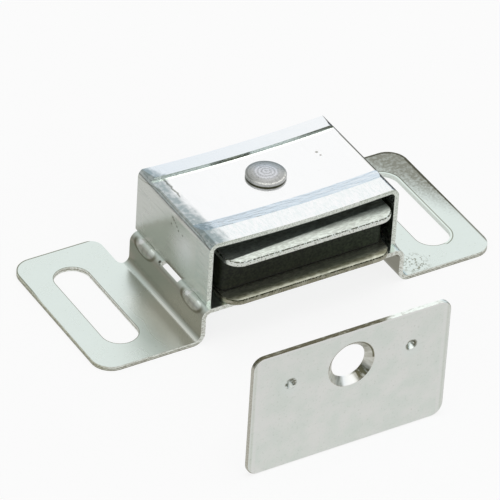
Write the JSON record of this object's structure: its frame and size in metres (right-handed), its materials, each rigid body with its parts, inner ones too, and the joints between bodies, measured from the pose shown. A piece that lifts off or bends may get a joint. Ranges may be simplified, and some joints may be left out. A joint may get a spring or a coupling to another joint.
{
  "type": "magnetic catch",
  "caption": "Magnetic cabinet catch: a magnet between pole plates swivels on a rivet under a folded cover on a slotted bracket, with a separate countersunk strike plate for the door.",
  "frame": {"origin": "middle of the mounting face, halfway between the two screw slots", "axes": "+X along the catch from slot to slot, +Z away from the cabinet, -Y towards the door; the strike plate stands upright in front, its countersunk face towards -Y"},
  "size_m": [0.06, 0.0515, 0.0184],
  "materials": {
    "bracket_steel": "satin zinc plate",
    "cover_sheet": "bright",
    "rivet_metal": "satin",
    "pole_steel": "tumbled",
    "magnet": "matte dark ferrite",
    "strike_steel": "satin zinc plate"
  },
  "bodies": {
    "catch_frame": {"base_bracket": "bracket_steel", "cover": "cover_sheet", "rivet": "rivet_metal", "strike_plate": "strike_steel"},
    "magnet_pack": {"lower_pole_plate": "pole_steel", "magnet_block": "magnet", "upper_pole_plate": "pole_steel"}
  },
  "joints": [
    {"name": "pack_swivel", "type": "hinge", "parent": "catch_frame", "child": "magnet_pack", "pos_m": [0.0005, -0.0009, 0.00885], "axis": [0, 0, 1], "range_deg": [-4.5, 2.5]}
  ]
}
